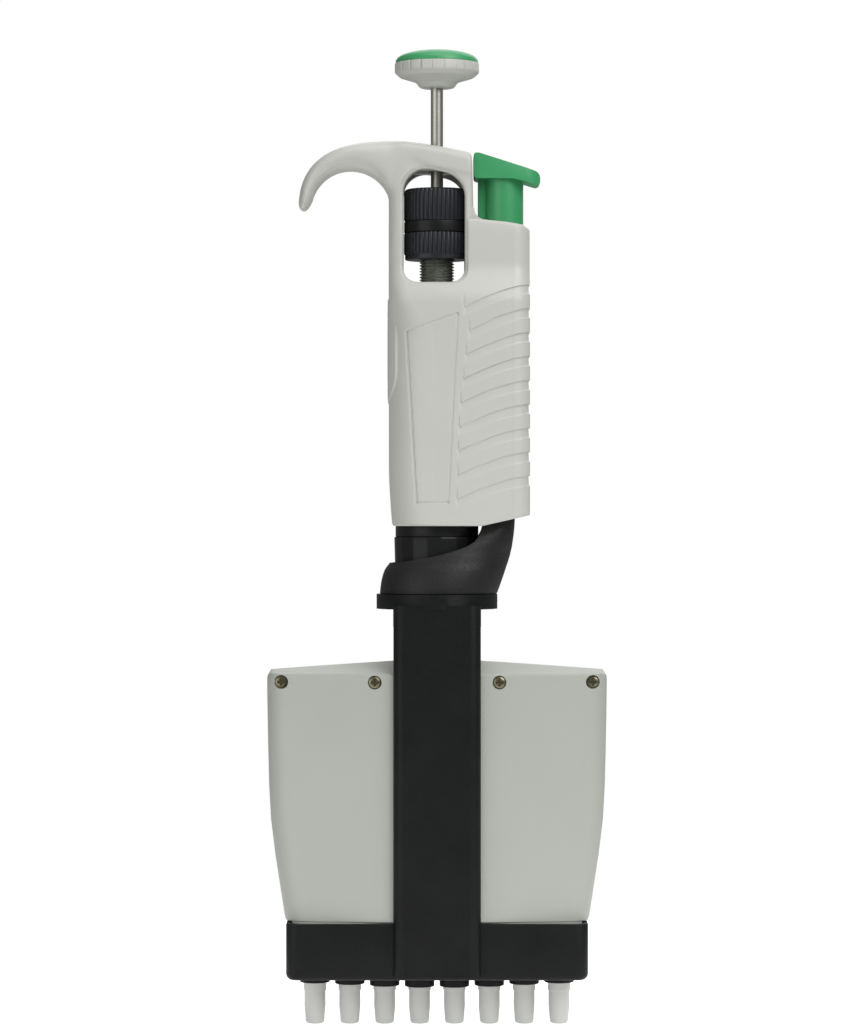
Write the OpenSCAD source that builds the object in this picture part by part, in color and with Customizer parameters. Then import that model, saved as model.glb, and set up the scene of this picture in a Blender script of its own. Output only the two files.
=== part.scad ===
// Eight-channel air-displacement pipette, in millimetres.
// The origin is on the plunger axis at the plane of the nozzle tips. +Z is up the handle,
// +X is the ejector button's side, the finger hook reaches towards -X and the front is -Y.

/* [Channels] */
// Distance from one nozzle to the next
pitch = 9; // [8.6:0.1:9]
// Radius of the land that a tip grips
land_r = 2.75; // [2.6:0.05:2.8]
// Radius at the mouth of a nozzle
mouth_r = 2.4; // [2:0.05:2.5]
// Radius of the air channel in a nozzle
channel_r = 1.2; // [0.8:0.1:1.5]
// Radius of a piston
piston_r = 2.52; // [2.3:0.02:2.54]

/* [Handle] */
// Half depth of the grip, front to back
grip_depth = 13; // [11.5:0.5:14]
// Half depth of the head and the hook
head_depth = 9.5; // [9.2:0.1:11]
// Radius of the button's disc
button_r = 10.9; // [9:0.1:12]
// Radius of the knob and the lock ring
knob_r = 8.25; // [7.5:0.05:8.4]
// Distance of the ejector post from the plunger axis
post_x = 17.25; // [17:0.05:17.4]

/* [Module] */
// Half width of the module shells at their widest
shell_w = 43.7; // [43:0.1:46]
// Half depth of the module shells at the middle
shell_depth = 12.7; // [12.2:0.1:12.8]
// Wall of the module shells
wall = 1.6; // [1.2:0.1:1.8]
// Half width of the ejector bar
bar_w = 38.6; // [38.6:0.05:38.9]
// Half width of the ejector column
column_w = 11.2; // [11:0.05:12]

/* [Travel] */
// Stroke of the plunger from rest to its first stop
stroke = 6; // [4:0.5:6]
// Further stroke that blows the last drop out
blow_out = 3.5; // [2:0.5:3.5]
// Travel of the tip ejector
eject = 8; // [6:0.5:8]

/* [Hidden] */
$fn = 96;
e = 0.01;
channels = 8;
half = (channels - 1) / 2;

// handle levels
handle_bottom = 128.3;
slope_x = 11.4;
slope_top = 131.1;
grip_left = -12.4;
grip_right = 23.8;
shoulder = 205.6;
head_bottom = 190.2;
head_right = 9.8;
head_top = 223.9;
crown_x = -11.5;
crown_top = 227;
hook_centre = [-14.38, 205.98];
hook_r = 21.4;
gap_centre = [-22.15, 209.45];
gap_r = 10.3;
hook_tip = [-34.05, 210.3];
tip_r = 0.9;
window = [-8.4, 7.3, 190.7, 219.6];
window_r = 3;
knob_space_r = 8.8;
axis_bore_r = 10.2;
axis_bore_top = 189.2;
spring_shelf = 134;
neck_top = 140;
hub_space = [5.5, 223.4];
// half width, bottom and top of the counter's surround and of its glass
bezel = [6, 160, 186.8];
glass = [3, 163.5, 182.5];

// plunger line
rod_r = 1.6;
rod_bore_r = 2.1;
screw_r = 4.53;
screw_bottom = 172;
screw_top = 203.9;
screw_travel = 5;
washer_bottom = 170.2;
collar_bottom = 168;
sleeve_bottom = 160;
ring_bottom = 164;
ring_pitch = 6;
ring_h = 5.5;
lock_bottom = 196.3;
band_top = 206.8;
knob_top = 215.1;
rod_bottom = 121.1;
rod_top = 243;
button_bottom = 241.3;
button_top = 248.2;
cap_top = 251.1;

// swivel joint
nut_r = 11.05;
nut_sides = 18;
nut_bottom = 112.5;
nut_top = 125.6;
neck_r = 10.7;
neck_thread_r = 9.1;
stem_r = 7;
stem_neck_r = 6;
head_r = 8.4;

// ejector
post_r = 5.05;
post_bottom = 185;
button_underside = 217.5;
button_edge = 9.9;
ejector_half = 6.2;
ejector_rod_r = 1.75;
fin = [207.1, 3];
tongue_hole = 8;
tongue_top = 145;
ledge = [148, 152];
arm_bottom = 110.9;
arm_bore_r = 11.5;
arm_r = 14.8;
flange_r = 15.6;
flange_bottom = 107;
flange_top = 110.8;
column_depth = 15.4;
column_bottom = 13.6;
column_corner = 2.8;
column_wall = 2.2;
bar_bottom = 12.4;
bar_top = 26.9;
bar_depth = 13.2;
bar_wall = 1.2;
bar_corner = 3.2;
bar_floor = 1.8;
collar_r = 3.85;
collar_steps = [2.9, 2.65, 2.2, 1.8];

// module levels
shell_bottom = 27.1;
shell_eave = 90.5;
shell_ridge = 94.1;
side_bottom = shell_ridge + eject + 0.5;
shell_end_r = 6;
arc_r = 205.5;
skirt = [37.2, 11.6, 14.5];
plate = [14.6, 17.6];
cone_foot = [4, 1.6];
seal_level = [46.3, 50];
seal_low = 43;
cylinder_bottom = 19.8;
land = [4.5, 8.5];
shoulder_r = land_r + 0.2;
piston_bottom = cylinder_bottom + stroke + blow_out + screw_travel + 0.8;
bar_level = [72, 76];
guide_x = 36.5;
guide_r = 1.3;
guide_top = 86;
drive_top = 121;
screw_places = [-39.9, -15.9, 15.9, 39.9];
screw_z = 88.4;

grip_grey = [0.76, 0.77, 0.74];
shell_grey = [0.72, 0.73, 0.7];
black = [0.17, 0.18, 0.17];
green = [0.22, 0.55, 0.36];
steel = [0.6, 0.6, 0.58];
brass = [0.72, 0.6, 0.35];

// A rectangle with round corners, from its lowest to its highest corner
module rounded(x0, x1, y0, y1, r) {
    translate([x0 + r, y0]) square([x1 - x0 - 2 * r, y1 - y0]);
    translate([x0, y0 + r]) square([x1 - x0, y1 - y0 - 2 * r]);
    for (x = [x0 + r, x1 - r], y = [y0 + r, y1 - r]) translate([x, y]) circle(r);
}

// An outline drawn in X and Z, given a thickness from y0 to y1
module upright(y0, y1) {
    translate([0, y1, 0]) rotate([90, 0, 0]) linear_extrude(y1 - y0) children();
}

// An outline drawn in X and Y, raised from z0 to z1
module raised(z0, z1) {
    translate([0, 0, z0]) linear_extrude(z1 - z0) children();
}

module rod(r, z0, z1) {
    translate([0, 0, z0]) cylinder(r = r, h = z1 - z0);
}

module tube(r, bore, z0, z1) {
    difference() {
        rod(r, z0, z1);
        rod(bore, z0 - e, z1 + e);
    }
}

// One point for each ring of a coil of round wire, swept as a polyhedron
module coil(r, wire, z0, z1, turns) {
    steps = 14;
    sides = 6;
    rings = steps * turns;
    rise = z1 - z0 - 2 * wire;
    points = [for (i = [0:rings], j = [0:sides - 1])
        let (a = 360 * i / steps, b = 360 * j / sides, s = r + wire * cos(b))
        [s * cos(a), s * sin(a), z0 + wire + rise * i / rings + wire * sin(b)]];
    walls = [for (i = [0:rings - 1], j = [0:sides - 1])
        let (k = (j + 1) % sides)
        [i * sides + j, i * sides + k, (i + 1) * sides + k, (i + 1) * sides + j]];
    first = [for (j = [0:sides - 1]) sides - 1 - j];
    last = [for (j = [0:sides - 1]) rings * sides + j];
    polyhedron(points = points, faces = concat([first], walls, [last]), convexity = 10);
}

module front_half(reach = 60) {
    translate([-reach, -reach, 0]) cube([2 * reach, reach, 260]);
}

module rear_half(reach = 60) {
    translate([-reach, 0, 0]) cube([2 * reach, reach, 260]);
}

/* handle */

module grip_outline() {
    polygon([[grip_left + 1, handle_bottom], [slope_x, handle_bottom], [grip_right, slope_top],
        [grip_right, shoulder - 1], [22, shoulder], [11.7, shoulder + 1.2], [9, shoulder + 1.2],
        [9, head_bottom], [grip_left, head_bottom], [grip_left, handle_bottom + 20]]);
}

module head_outline() {
    polygon([[grip_left, head_bottom], [grip_right, head_bottom], [grip_right, shoulder - 1],
        [22, shoulder], [11.7, shoulder + 1.2], [head_right, shoulder + 2], [9.4, head_top],
        [1.4, 225.5], [crown_x, crown_top], [crown_x, gap_centre.y], [grip_left, gap_centre.y]]);
    difference() {
        intersection() {
            translate(hook_centre) circle(hook_r);
            translate([-40, hook_tip.y]) square([40 + crown_x, 30]);
        }
        translate(gap_centre) circle(gap_r);
    }
    translate(hook_tip) circle(tip_r);
}

module handle_body() {
    intersection() {
        upright(-grip_depth, grip_depth) grip_outline();
        raised(handle_bottom - e, shoulder + 2)
            rounded(grip_left, grip_right, -grip_depth, grip_depth, 9);
    }
    upright(-head_depth, head_depth) head_outline();
}

module handle_hollows() {
    upright(-grip_depth - e, grip_depth + e) rounded(window[0], window[1], window[2], window[3], window_r);
    rod(knob_space_r, window[2], window[3]);
    rod(neck_r - 0.8, handle_bottom - e, neck_top);
    rod(axis_bore_r, neck_top - e, axis_bore_top);
    rod(screw_r + 0.2, axis_bore_top - e, window[2] + e);
    rod(rod_bore_r, window[3] - e, crown_top);
    rod(hub_space[0], hub_space[1], crown_top + 1);
    translate([post_x, 0, 0]) {
        rod(post_r + 0.25, ledge[1], shoulder + 2);
        rod(ejector_rod_r + 0.25, ledge[0] - e, ledge[1] + e);
    }
    translate([12.2, -ejector_half - 0.3, handle_bottom - 1])
        cube([8.4, 2 * ejector_half + 0.6, ledge[0] - handle_bottom + 1]);
    translate([10.3, -fin[1] - 0.3, fin[0] - eject - 0.5]) cube([3, 2 * fin[1] + 0.6, 12]);
    translate([-14, -bezel[0] - e, bezel[1]]) cube([2.6, 2 * (bezel[0] + e), bezel[2] - bezel[1]]);
    translate([-12, -glass[0], glass[1]]) cube([6, 2 * glass[0], glass[2] - glass[1]]);
}

module handle_shell_pair() {
    difference() {
        handle_body();
        handle_hollows();
    }
}

module handle_front_shell() {
    color(grip_grey) intersection() {
        handle_shell_pair();
        front_half();
    }
}

module handle_rear_shell() {
    color(grip_grey) intersection() {
        handle_shell_pair();
        rear_half();
    }
}

module display_bezel() {
    color(grip_grey) difference() {
        translate([-12.8, 0, 0]) rotate([90, 0, 90]) linear_extrude(1.4)
            rounded(-bezel[0], bezel[0], bezel[1], bezel[2], bezel[0] - 0.1);
        translate([-13, -glass[0], glass[1]]) cube([2, 2 * glass[0], glass[2] - glass[1]]);
    }
}

module display_lens() {
    color([0.8, 0.85, 0.88, 0.5]) translate([-12.5, -glass[0], glass[1]])
        cube([0.8, 2 * glass[0], glass[2] - glass[1]]);
}

module handle_neck() {
    color(black) difference() {
        union() {
            rod(neck_r, nut_top, handle_bottom);
            rod(neck_r - 0.8, handle_bottom - e, neck_top);
            rod(neck_thread_r, 119.5, nut_top + e);
        }
        rod(rod_bore_r, 110, neck_top);
        rod(6, 119, spring_shelf - 4);
        rod(6.2, spring_shelf, neck_top + e);
    }
}

module coupling_nut() {
    flats = [for (i = [0:nut_sides - 1]) nut_r * [cos(360 * i / nut_sides), sin(360 * i / nut_sides)]];
    color(black) difference() {
        raised(nut_bottom, nut_top) polygon(flats);
        rod(neck_thread_r, 115.5, nut_top + e);
        rod(stem_neck_r + 0.3, nut_bottom - e, 115.6);
    }
}

module swivel_seal() {
    color([0.3, 0.3, 0.3]) tube(head_r, 6.6, 118.6, 119.5);
}

module thread_nut() {
    color(brass) difference() {
        union() {
            rod(7, 180, 185);
            rod(axis_bore_r, 184.5, axis_bore_top);
        }
        rod(screw_r + 0.03, 179, axis_bore_top + 1);
    }
}

module counter_sleeve() {
    color([0.85, 0.85, 0.83]) difference() {
        union() {
            rod(axis_bore_r, sleeve_bottom, ring_bottom - 1);
            rod(7.3, sleeve_bottom, 179.8);
        }
        rod(6.5, sleeve_bottom - 1, 181);
    }
}

module counter_ring(level) {
    tube(9.6, 7.4, ring_bottom + level * ring_pitch, ring_bottom + level * ring_pitch + ring_h);
}

module counter_ring_units() { color("white") counter_ring(0); }
module counter_ring_tens() { color("white") counter_ring(1); }
module counter_ring_hundreds() { color("white") counter_ring(2); }

module return_spring() { color(steel) coil(4.9, 0.5, spring_shelf, collar_bottom, 9); }
module blowout_spring() { color(steel) coil(3, 0.5, spring_shelf, collar_bottom - stroke, 7); }

module ejector_spring() {
    color(steel) translate([post_x, 0, 0]) coil(3.2, 0.4, ledge[1], post_bottom, 8);
}

/* volume setting */

module stop_washer() { color(brass) tube(6.2, rod_bore_r, washer_bottom, screw_bottom); }
module volume_screw() { color(steel) tube(screw_r, rod_bore_r, screw_bottom, screw_top); }

module volume_knob() {
    color(black) difference() {
        union() {
            rod(knob_r, band_top, knob_top);
            rod(5, screw_top, band_top + e);
        }
        rod(rod_bore_r, screw_top - 1, knob_top + 1);
    }
}

module knob_band() { color(black) tube(knob_r - 0.05, 5, screw_top, band_top); }

module lock_ring() {
    color(black) tube(knob_r, screw_r + 0.07, lock_bottom, screw_top - 0.1);
}

/* plunger */

module plunger_rod() { color(steel) rod(rod_r, rod_bottom, rod_top); }
module rod_collar() { color(brass) tube(5.4, rod_r, collar_bottom, 170); }

module push_button() {
    color(grip_grey) difference() {
        rotate_extrude() polygon([[0, button_bottom], [4, button_bottom], [5.3, 243],
            [button_r - 0.6, 244.6], [button_r, 245], [button_r, button_top], [0, button_top]]);
        rod(rod_r, button_bottom - 1, rod_top);
    }
}

module button_cap() {
    rise = cap_top - button_top;
    dome = [for (a = [0:10:90]) [(button_r - 0.3) * sin(a), button_top + rise * cos(a)]];
    color(green) rotate_extrude() polygon(concat([[0, button_top]], dome));
}

/* tip ejector: button, rod and arm */

module ejector_button() {
    side = [[10.6, button_underside], [button_edge, 218.1], [button_edge, 223.7],
        [10.6, 224.1], [24.5, 219.6], [26.6, 217.1], [26.1, 215.5], [24.6, 215.9],
        [22.3, 216.7], [17.3, button_underside]];
    color(green) {
        intersection() {
            upright(-ejector_half, ejector_half) polygon(side);
            raised(210, 230) rounded(button_edge, 26.6, -ejector_half, ejector_half, 5);
        }
        difference() {
            union() {
                translate([post_x, 0, 0]) rod(post_r, post_bottom, button_underside);
                translate([10.5, -fin[1], fin[0]]) cube([4, 2 * fin[1], button_underside - fin[0] + e]);
            }
            translate([post_x, 0, 0]) rod(ejector_rod_r, post_bottom - e, post_bottom + 5);
        }
    }
}

module ejector_rod() {
    color(steel) translate([post_x, 0, 0]) rod(ejector_rod_r, tongue_top - tongue_hole, post_bottom + 5);
}

module ejector_arm() {
    shoulder_curve = [for (a = [0:15:75]) [arm_r - 2.5 + 2.1 * cos(a), 116.5 + 10.5 * sin(a)]];
    side = [[-16, arm_bottom], [16, arm_bottom], [16, 127], [12.2, 127], [10, 124.1], [5, 122],
        [-1, 120.5], [-7, 119.4], [-12, 118.7], [-16, 118.5]];
    tongue = [[10, arm_bottom], [15.6, arm_bottom], [17.8, 117.5], [19.4, 123.1],
        [20.1, 129.9], [20.1, tongue_top], [12.7, tongue_top], [12.7, 128], [12.2, 127], [10, 124.1]];
    color(black) difference() {
        union() {
            intersection() {
                rotate_extrude() polygon(concat([[0, arm_bottom], [arm_r, arm_bottom]],
                    shoulder_curve, [[0, 127]]));
                upright(-16, 16) polygon(side);
            }
            upright(-ejector_half, ejector_half) polygon(tongue);
        }
        rod(arm_bore_r, arm_bottom - 1, 128);
        translate([post_x, 0, 0]) rod(ejector_rod_r, tongue_top - tongue_hole, tongue_top + 1);
    }
}

/* module */

// Plan of the module shells: two long arcs and round ends, drawn in by inset all round
module shell_plan(inset) {
    end_r = shell_end_r - inset;
    end_x = shell_w - shell_end_r;
    end_y = shell_depth - arc_r + sqrt(arc_r * arc_r - end_x * end_x) - shell_end_r;
    intersection() {
        translate([0, shell_depth - arc_r]) circle(arc_r - inset, $fn = 360);
        translate([0, arc_r - shell_depth]) circle(arc_r - inset, $fn = 360);
        union() {
            translate([-end_x, -20]) square([2 * end_x, 40]);
            for (sx = [-1, 1], sy = [-1, 1]) translate([sx * end_x, sy * end_y]) circle(end_r);
            translate([inset - shell_w, -end_y]) square([2 * (shell_w - inset), 2 * end_y]);
        }
    }
}

module shell_front_outline(inset) {
    edge = [[39, shell_bottom], [42.7, 53], [43.2, 62], [shell_w, 88.5], [shell_w - 0.6, 91.3]];
    low = inset > 0 ? 20 : shell_bottom;
    right = concat([[39 - inset, low]], [for (p = edge) [p.x - inset, p.y - (p.y > 85 ? inset : 0)]]);
    left = [for (i = [len(right) - 1:-1:0]) [-right[i].x, right[i].y]];
    polygon(concat(right, [[0, shell_ridge - inset]], left));
}

module shell_form(inset) {
    intersection() {
        upright(-20, 20) shell_front_outline(inset);
        raised(10, 100) shell_plan(inset);
        rotate([90, 0, 90]) linear_extrude(100, center = true) polygon([
            [-shell_depth, 10], [shell_depth, 10], [shell_depth, shell_eave - inset],
            [0, shell_ridge - inset + 0.2], [-shell_depth, shell_eave - inset]]);
    }
}

module skirt_form(inset, low, high) {
    raised(low, high) rounded(inset - skirt[0], skirt[0] - inset, inset - skirt[1],
        skirt[1] - inset, 4 - inset);
}

module shell_pair() {
    difference() {
        union() {
            shell_form(0);
            skirt_form(0, skirt[2], shell_bottom + e);
        }
        intersection() {
            shell_form(wall);
            raised(shell_bottom + wall, 100) square(120, center = true);
        }
        skirt_form(wall, skirt[2] - 1, shell_bottom);
        intersection() {
            shell_form(wall);
            skirt_form(wall, shell_bottom - e, shell_bottom + wall + e);
        }
        rod(stem_r, 80, 100);
        for (x = screw_places) screw_place(x) cylinder(r = 1.5, h = 30);
    }
}

// A frame at a shell screw's head, on the curved front, with +Z along the screw
module screw_place(x) {
    depth = arc_r - shell_depth - sqrt(arc_r * arc_r - x * x);
    round_off = abs(x) > shell_w - shell_end_r ? 0.9 : 0;
    translate([x, depth + round_off, screw_z]) rotate([-90, 0, 0]) children();
}

module module_front_shell() {
    color(shell_grey) intersection() {
        shell_pair();
        front_half();
    }
}

module module_rear_shell() {
    color(shell_grey) intersection() {
        shell_pair();
        rear_half();
    }
}

module shell_screws() {
    color([0.36, 0.35, 0.3]) for (x = screw_places) screw_place(x) translate([0, 0, 0.15])
        difference() {
            cylinder(r = 1.5, h = 7);
            for (a = [0, 90]) rotate([0, 0, a]) translate([-1, -0.25, -e]) cube([2, 0.5, 0.7]);
        }
}

module module_stem() {
    color(steel) difference() {
        union() {
            rod(9, 84, 86);
            rod(stem_r, 84, 112);
            rod(stem_neck_r, 111, 117);
            rod(head_r, 116, 118.5);
        }
        rod(2.8, 80, 120);
    }
}

// Places something at each nozzle
module at_channels() {
    for (i = [0:channels - 1]) translate([(i - half) * pitch, 0, 0]) children();
}

module seal_plate() {
    color(steel) difference() {
        raised(seal_level[0], seal_level[1]) rounded(-39, 39, -5.5, 5.5, 4);
        at_channels() rod(piston_r + 0.28, seal_level[0] - 1, seal_level[1] + 1);
        for (s = [-1, 1]) translate([s * guide_x, 0, 0]) rod(guide_r, seal_level[0] - 1, 60);
    }
}

module cone_plate() {
    color(steel) difference() {
        raised(plate[0], plate[1]) rounded(-35.5, 35.5, -9.9, 9.9, 2.3);
        at_channels() rod(shoulder_r + 0.1, plate[0] - 1, plate[1] + 1);
    }
}

module tip_cone() {
    difference() {
        union() {
            rotate_extrude() polygon([[0, 0], [mouth_r - 0.6, 0], [mouth_r - 0.15, 0.2],
                [mouth_r, 0.7], [land_r, land[0]], [land_r, land[1]], [shoulder_r, land[1] + 0.1],
                [shoulder_r, plate[1]], [0, plate[1]]]);
            rod(cone_foot[0], plate[1], plate[1] + cone_foot[1]);
            rod(3.6, plate[1] + cone_foot[1] - e, seal_low);
            rod(cone_foot[0], seal_low - e, seal_level[0] - 0.1);
        }
        rod(channel_r, -1, cylinder_bottom + 1);
        rod(piston_r + 0.3, cylinder_bottom, seal_level[0]);
        rod(3.3, seal_low + 0.5, seal_level[0]);
    }
}

module piston_seals() {
    color([0.2, 0.2, 0.2]) at_channels() tube(3.3, piston_r + 0.04, seal_low + 0.5, seal_level[0] - 0.1);
}

module guide_rods() {
    color(steel) for (s = [-1, 1]) translate([s * guide_x, 0, 0]) rod(guide_r, seal_level[0], guide_top);
}

module bar_springs() {
    color(steel) for (s = [-1, 1]) translate([s * guide_x, 0, 0])
        coil(1.9, 0.4, seal_level[1], bar_level[0], 7);
}

module ejector_return_spring() { color(steel) coil(8.2, 0.5, shell_ridge + 0.5, flange_bottom - 0.1, 4); }

module drive_rod() { color(steel) rod(2.5, bar_level[1], drive_top); }

module piston_crossbar() {
    color([0.7, 0.7, 0.72]) difference() {
        raised(bar_level[0], bar_level[1]) rounded(-39.7, 39.7, -4.6, 4.6, 3.5);
        for (s = [-1, 1]) translate([s * guide_x, 0, 0]) rod(guide_r + 0.08, 60, 80);
    }
}

module piston() { rod(piston_r, piston_bottom, bar_level[0]); }

/* ejector frame */

module column_plan(inset) {
    rounded(inset - column_w, column_w - inset, inset - column_depth, column_depth - inset,
        max(column_corner - inset, 0.5));
}

module ejector_column() {
    color(black) difference() {
        union() {
            raised(column_bottom, flange_bottom + 1) column_plan(0);
            rod(flange_r, flange_bottom, flange_top);
        }
        raised(column_bottom - 1, flange_bottom) column_plan(column_wall);
        translate([-20, e - bar_depth, column_bottom - 1])
            cube([40, 2 * (bar_depth - e), side_bottom - column_bottom + 1]);
        rod(stem_r + 0.4, flange_bottom - 1, flange_top + 1);
    }
}

module ejector_bar() {
    color(black) difference() {
        union() {
            raised(bar_bottom, bar_top)
                rounded(-bar_w, bar_w, -bar_depth, bar_depth, bar_corner);
            for (i = [0:channels - 1]) translate([(i - half) * pitch, 0, 0])
                rod(collar_r, bar_bottom - collar_steps[floor(abs(i - half))], bar_bottom + e);
        }
        raised(bar_bottom + bar_floor, bar_top + 1)
            rounded(bar_wall - bar_w, bar_w - bar_wall, bar_wall - bar_depth,
                bar_depth - bar_wall, bar_corner - bar_wall);
        at_channels() rod(shoulder_r + 0.2, 5, 20);
    }
}

handle_front_shell();
handle_rear_shell();
display_bezel();
display_lens();
handle_neck();
coupling_nut();
swivel_seal();
thread_nut();
counter_sleeve();
return_spring();
blowout_spring();
ejector_spring();
stop_washer();
volume_screw();
volume_knob();
knob_band();
lock_ring();
counter_ring_units();
counter_ring_tens();
counter_ring_hundreds();
plunger_rod();
rod_collar();
push_button();
button_cap();
ejector_button();
ejector_rod();
ejector_arm();
module_front_shell();
module_rear_shell();
shell_screws();
module_stem();
seal_plate();
cone_plate();
piston_seals();
guide_rods();
bar_springs();
ejector_return_spring();
drive_rod();
piston_crossbar();
ejector_column();
ejector_bar();
for (i = [1:channels])
    color(grip_grey) translate([(i - 1 - half) * pitch, 0, 0]) tip_cone();
for (i = [1:channels])
    color(steel) translate([(i - 1 - half) * pitch, 0, 0]) piston();
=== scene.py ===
import math
from math import cos, radians, sin

import bmesh
import bpy
import numpy as np
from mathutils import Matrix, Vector


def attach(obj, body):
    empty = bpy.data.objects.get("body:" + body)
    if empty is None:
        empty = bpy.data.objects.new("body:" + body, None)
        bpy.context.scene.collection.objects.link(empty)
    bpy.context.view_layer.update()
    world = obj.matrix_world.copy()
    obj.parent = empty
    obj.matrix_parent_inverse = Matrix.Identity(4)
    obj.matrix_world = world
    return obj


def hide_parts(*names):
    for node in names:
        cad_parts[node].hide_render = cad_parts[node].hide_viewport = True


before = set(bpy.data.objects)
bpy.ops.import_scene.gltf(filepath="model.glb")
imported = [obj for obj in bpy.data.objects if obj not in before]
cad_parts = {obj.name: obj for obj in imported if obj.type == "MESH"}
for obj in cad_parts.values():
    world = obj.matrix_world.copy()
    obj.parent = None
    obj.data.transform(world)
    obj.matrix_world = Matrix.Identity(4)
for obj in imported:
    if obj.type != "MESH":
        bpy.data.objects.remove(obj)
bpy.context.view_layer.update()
mm = 0.001  # m; lengths below are in mm unless they say otherwise
samePlace = 1e-7  # m, nearer than this is the same place
mergeReach = 2e-6  # m, nearer than this is one vertex
print("frame loaded:", len(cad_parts), "nodes")


def deselectAll():
    if bpy.context.object and bpy.context.object.mode != "OBJECT":
        bpy.ops.object.mode_set(mode="OBJECT")
    bpy.ops.object.select_all(action="DESELECT")


def choose(piece):
    deselectAll()
    piece.select_set(True)
    bpy.context.view_layer.objects.active = piece


def openEdit(piece):
    choose(piece)
    bpy.ops.object.mode_set(mode="EDIT")
    bpy.ops.mesh.select_mode(type="VERT")


def closeEdit(piece, smooth=35):
    # doubles merged, normals out, then smooth except over real edges
    bpy.ops.mesh.select_all(action="SELECT")
    bpy.ops.mesh.remove_doubles(threshold=mergeReach)
    bpy.ops.mesh.delete_loose()
    bpy.ops.mesh.select_all(action="SELECT")
    bpy.ops.mesh.normals_make_consistent(inside=False)
    bpy.ops.object.mode_set(mode="OBJECT")
    bpy.ops.object.shade_smooth_by_angle(angle=radians(smooth))
    return piece


def nameIt(name):
    piece = bpy.context.object
    piece.name = name
    piece.data.name = name
    return piece


def place(piece, points):
    # points in millimetres, one for each vertex
    piece.data.vertices.foreach_set("co", (np.array(points, float) * mm).ravel())
    piece.data.update()


def fillet(corners, steps=6):
    # corners are (x, y) or (x, y, radius); a radius becomes an arc
    out = []
    for i, corner in enumerate(corners):
        here = Vector(corner[:2])
        if len(corner) < 3:
            out.append(tuple(here))
            continue
        before = (Vector(corners[i - 1][:2]) - here).normalized()
        after = (Vector(corners[(i + 1) % len(corners)][:2]) - here).normalized()
        half = math.acos(max(-1, min(1, before.dot(after)))) / 2
        reach = corner[2] / math.tan(half)
        middle = here + (before + after).normalized() * corner[2] / sin(half)
        first, last = here + before * reach - middle, here + after * reach - middle
        turn = first.angle_signed(last)
        for s in range(steps + 1):
            a = -turn * s / steps
            c, d = cos(a), sin(a)
            out.append((middle.x + first.x * c - first.y * d, middle.y + first.x * d + first.y * c))
    return out


def rectangle(x0, x1, y0, y1):
    return [(x0, y0), (x1, y0), (x1, y1), (x0, y1)]


def roundedPlan(x0, x1, y0, y1, leftR, rightR, arcCount=10):
    return fillet([(x0, y0, leftR), (x1, y0, rightR), (x1, y1, rightR), (x0, y1, leftR)], arcCount)


def turned(name, profile, centre=(0, 0), sides=96, smooth=35):
    # profile is a closed outline of (radius, height), spun round an upright axis
    deselectAll()
    bpy.ops.mesh.primitive_circle_add(vertices=len(profile), radius=mm)
    piece = nameIt(name)
    place(piece, [(centre[0] + r, centre[1], z) for r, z in profile])
    openEdit(piece)
    # edges on the axis would spin into nothing
    bpy.ops.mesh.select_mode(type="EDGE")
    bpy.ops.mesh.select_all(action="DESELECT")
    mesh = bmesh.from_edit_mesh(piece.data)
    onAxis = [edge for edge in mesh.edges
              if all(abs(v.co.x - centre[0] * mm) < samePlace for v in edge.verts)]
    for edge in onAxis:
        edge.select = True
    if onAxis:
        bpy.ops.mesh.delete(type="EDGE")
    bpy.ops.mesh.select_all(action="SELECT")
    bpy.ops.mesh.spin(steps=sides, angle=2 * math.pi, axis=(0, 0, 1),
                      center=(centre[0] * mm, centre[1] * mm, 0))
    return closeEdit(piece, smooth)


def slab(name, outline, low, high, plane="XZ", rim=0.0):
    # an outline is drawn, filled and extruded; rim rounds the edges of both faces
    def at(p, level):
        return {"XZ": (p[0], level, p[1]), "YZ": (level, p[0], p[1]), "XY": (p[0], p[1], level)}[plane]

    deselectAll()
    bpy.ops.mesh.primitive_circle_add(vertices=len(outline), radius=mm)
    piece = nameIt(name)
    place(piece, [at(p, low) for p in outline])
    openEdit(piece)
    bpy.ops.mesh.select_all(action="SELECT")
    bpy.ops.mesh.edge_face_add()
    move = Vector(at((0, 0), high - low)) * mm
    bpy.ops.mesh.extrude_region_move(TRANSFORM_OT_translate={"value": move})
    if rim:
        bpy.ops.mesh.select_mode(type="EDGE")
        bpy.ops.mesh.select_all(action="DESELECT")
        mesh = bmesh.from_edit_mesh(piece.data)
        axis = {"XZ": 1, "YZ": 0, "XY": 2}[plane]
        for edge in mesh.edges:
            edge.select = abs(edge.verts[0].co[axis] - edge.verts[1].co[axis]) < samePlace
        bmesh.update_edit_mesh(piece.data)
        bpy.ops.mesh.bevel(offset=rim * mm, segments=4, affect="EDGES")
    return closeEdit(piece)


def loft(name, rings, smooth=35, capped=True):
    # a grid wrapped round through equal sections, from the first to the last
    deselectAll()
    bpy.ops.mesh.primitive_grid_add(x_subdivisions=len(rings[0]), y_subdivisions=len(rings) - 1, size=mm)
    piece = nameIt(name)
    place(piece, [p for ring in rings for p in list(ring) + [ring[0]]])
    openEdit(piece)
    bpy.ops.mesh.select_all(action="SELECT")
    bpy.ops.mesh.remove_doubles(threshold=mergeReach)
    if capped:
        bpy.ops.mesh.select_all(action="SELECT")
        bpy.ops.mesh.fill_holes(sides=0)
    return closeEdit(piece, smooth)


def combine(piece, other, how="DIFFERENCE"):
    choose(piece)
    step = piece.modifiers.new("combine", "BOOLEAN")
    step.operation = how
    step.solver = "MANIFOLD"
    step.object = other
    bpy.ops.object.modifier_apply(modifier=step.name)
    bpy.data.objects.remove(other)
    return piece


def copyOf(piece, name):
    choose(piece)
    bpy.ops.object.duplicate()
    return nameIt(name)


def joined(pieces, name):
    deselectAll()
    for piece in pieces:
        piece.select_set(True)
    bpy.context.view_layer.objects.active = pieces[0]
    bpy.ops.object.join()
    return nameIt(name)


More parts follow.
